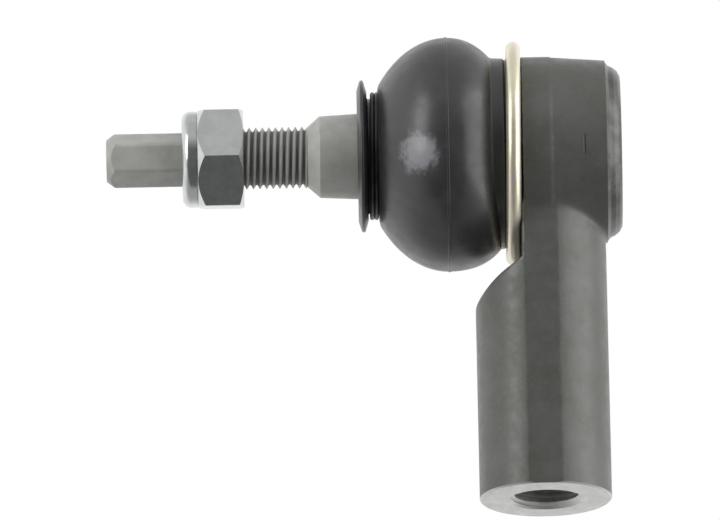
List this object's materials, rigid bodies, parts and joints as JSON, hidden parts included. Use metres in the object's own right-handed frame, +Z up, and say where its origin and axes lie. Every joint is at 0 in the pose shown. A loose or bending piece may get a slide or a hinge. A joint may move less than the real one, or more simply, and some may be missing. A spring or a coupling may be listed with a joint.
{
  "type": "tie rod end",
  "caption": "Tie rod end: a ball stud with taper, thread and lock nut swivels in a forged housing whose shank has a threaded bore, under a rubber boot.",
  "frame": {"origin": "centre of the shank's end face, at the mouth of its threaded bore", "axes": "+Z up the shank towards the ball, and the stud's axis along X with its free end towards -X; the ball's centre is at (0, 0, 0.082)"},
  "size_m": [0.1174, 0.0534, 0.1087],
  "materials": {
    "forged_steel": "phosphated forging, matt",
    "stud_steel": "turned and phosphated, satin",
    "bearing_plastic": "moulded",
    "spring_steel": "black",
    "plate_steel": "pressed, satin",
    "seal_rubber": "matt",
    "boot_rubber": "moulded, semi-matt",
    "yellow_zinc": "yellow passivated zinc, bright",
    "bright_zinc": "bright zinc",
    "nylon": "moulded"
  },
  "bodies": {
    "housing": {"housing": "forged_steel", "stud_side_seat": "bearing_plastic", "cover_side_seat": "bearing_plastic", "disc_spring": "spring_steel", "cover_plate": "plate_steel", "cover_seal": "seal_rubber", "boot_clamp_ring": "yellow_zinc"},
    "boot": {"boot": "boot_rubber"},
    "neck": {"boot_neck_ring": "spring_steel", "boot_neck_insert": "bearing_plastic"},
    "stud": {"ball_stud": "stud_steel"},
    "nut_insert": {"nut_insert": "nylon"},
    "nut": {"lock_nut": "bright_zinc"}
  },
  "joints": [
    {"name": "stud_tilt_y", "type": "hinge", "parent": "housing", "child": "boot", "pos_m": [0, 0, 0.082], "axis": [0, 1, 0], "range_deg": [-18, 18], "deforming": ["boot"]},
    {"name": "stud_tilt_z", "type": "hinge", "parent": "boot", "child": "neck", "pos_m": [0, 0, 0.082], "axis": [0, 0, 1], "range_deg": [-18, 18]},
    {"name": "stud_spin", "type": "hinge", "parent": "neck", "child": "stud", "pos_m": [0, 0, 0.082], "axis": [1, 0, 0], "continuous": true},
    {"name": "nut_travel", "type": "slide", "parent": "stud", "child": "nut_insert", "axis": [1, 0, 0], "range_m": [-0.0135, 0.012]},
    {"name": "nut_turn", "type": "hinge", "parent": "nut_insert", "child": "nut", "pos_m": [0, 0, 0.082], "axis": [1, 0, 0], "range_deg": [-3240, 2880]}
  ],
  "couplings": [
    {"joint": "nut_travel", "follows": "nut_turn", "m_per_rad": 0.00023873}
  ]
}
